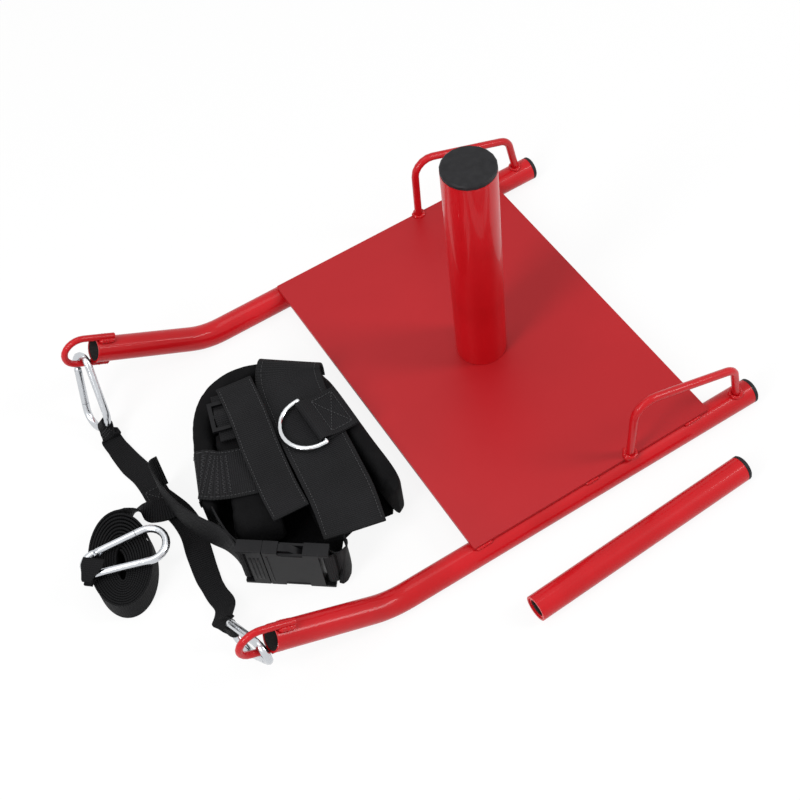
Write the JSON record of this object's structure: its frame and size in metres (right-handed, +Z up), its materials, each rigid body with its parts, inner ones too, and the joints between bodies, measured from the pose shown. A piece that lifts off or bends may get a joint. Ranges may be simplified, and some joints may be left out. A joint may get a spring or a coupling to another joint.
{
  "type": "drag sled",
  "caption": "Red steel drag sled on tubular skids with a weight post, a spare post, a webbing pull strap with snap hooks and a padded black harness lying folded beside it",
  "frame": {"origin": "on the floor, straight below the main post's axis", "axes": "+X to the raised noses, +Y to the sled's left, +Z up"},
  "size_m": [0.6287, 0.4678, 0.2769],
  "materials": {
    "deck_paint": "satin red paint with a slight sheen",
    "red_paint": "gloss red paint",
    "black_caps": "moulded black plugs, fine grain",
    "zinc_plate": "bright zinc plating",
    "chrome_plate": "polished chrome plating",
    "black_webbing": "woven polyester webbing",
    "black_padding": "woven cover over soft foam",
    "moulded_nylon": "moulded nylon, satin"
  },
  "bodies": {
    "sled": {"deck_plate": "deck_paint", "runner_left": "red_paint", "runner_cap_left": "black_caps", "tow_eye_left": "red_paint", "handle_left": "red_paint", "runner_right": "red_paint", "runner_cap_right": "black_caps", "tow_eye_right": "red_paint", "handle_right": "red_paint", "post_stud": "red_paint", "spare_post_tube": "red_paint", "spare_post_bush": "red_paint", "spare_post_cap": "black_caps", "hook_left_frame": "zinc_plate", "hook_left_pin": "zinc_plate", "hook_right_frame": "zinc_plate", "hook_right_pin": "zinc_plate", "hook_lead_frame": "zinc_plate", "hook_lead_pin": "zinc_plate", "strap_leg_left": "black_webbing", "strap_leg_right": "black_webbing", "strap_lead": "black_webbing", "lead_loop": "black_webbing", "chest_band": "black_webbing", "cross_band": "black_webbing", "slider_strap": "black_webbing", "ring_tab": "black_webbing", "side_tab": "black_webbing", "belt_left": "black_webbing", "belt_right": "black_webbing", "waist_pad": "black_padding", "shoulder_pad_left": "black_padding", "shoulder_pad_right": "black_padding", "belt_slider": "moulded_nylon", "buckle_female": "moulded_nylon", "buckle_male": "moulded_nylon"},
    "gate_left": {"hook_left_gate": "zinc_plate"},
    "gate_right": {"hook_right_gate": "zinc_plate"},
    "gate_lead": {"hook_lead_gate": "zinc_plate"},
    "ring": {"d_ring": "chrome_plate"},
    "prong_upper": {"buckle_prong_upper": "moulded_nylon"},
    "prong_lower": {"buckle_prong_lower": "moulded_nylon"},
    "main_post": {"main_post_tube": "red_paint", "main_post_bush": "red_paint", "main_post_cap": "black_caps"}
  },
  "joints": [
    {"name": "main_post_lift", "type": "slide", "parent": "sled", "child": "main_post", "axis": [0, 0, 1], "range_m": [0, 0.03]},
    {"name": "gate_left_hinge", "type": "hinge", "parent": "sled", "child": "gate_left", "pos_m": [0.33902, 0.18617, 0.04963], "axis": [-0.9852, -0.171, -0.0063], "range_deg": [0, 25], "stiffness_Nm_per_rad": 0.05},
    {"name": "gate_right_hinge", "type": "hinge", "parent": "sled", "child": "gate_right", "pos_m": [0.34979, -0.18938, 0.05471], "axis": [0.9013, 0.243, 0.3586], "range_deg": [0, 25], "stiffness_Nm_per_rad": 0.05},
    {"name": "gate_lead_hinge", "type": "hinge", "parent": "sled", "child": "gate_lead", "pos_m": [0.41778, -0.00416, 0.0315], "axis": [0, 0, -1], "range_deg": [0, 25], "stiffness_Nm_per_rad": 0.05},
    {"name": "ring_hinge", "type": "hinge", "parent": "sled", "child": "ring", "pos_m": [0.1892, 0, 0.0553], "axis": [0, -1, 0], "range_deg": [0, 165]},
    {"name": "prong_upper_flex", "type": "hinge", "parent": "sled", "child": "prong_upper", "pos_m": [0.29225, 0.094, 0.0478], "axis": [-0.6113, -0.7914, 0], "range_deg": [0, 8], "stiffness_Nm_per_rad": 0.1},
    {"name": "prong_lower_flex", "type": "hinge", "parent": "sled", "child": "prong_lower", "pos_m": [0.29225, 0.094, 0.0128], "axis": [0.6113, 0.7914, 0], "range_deg": [0, 8], "stiffness_Nm_per_rad": 0.1}
  ]
}
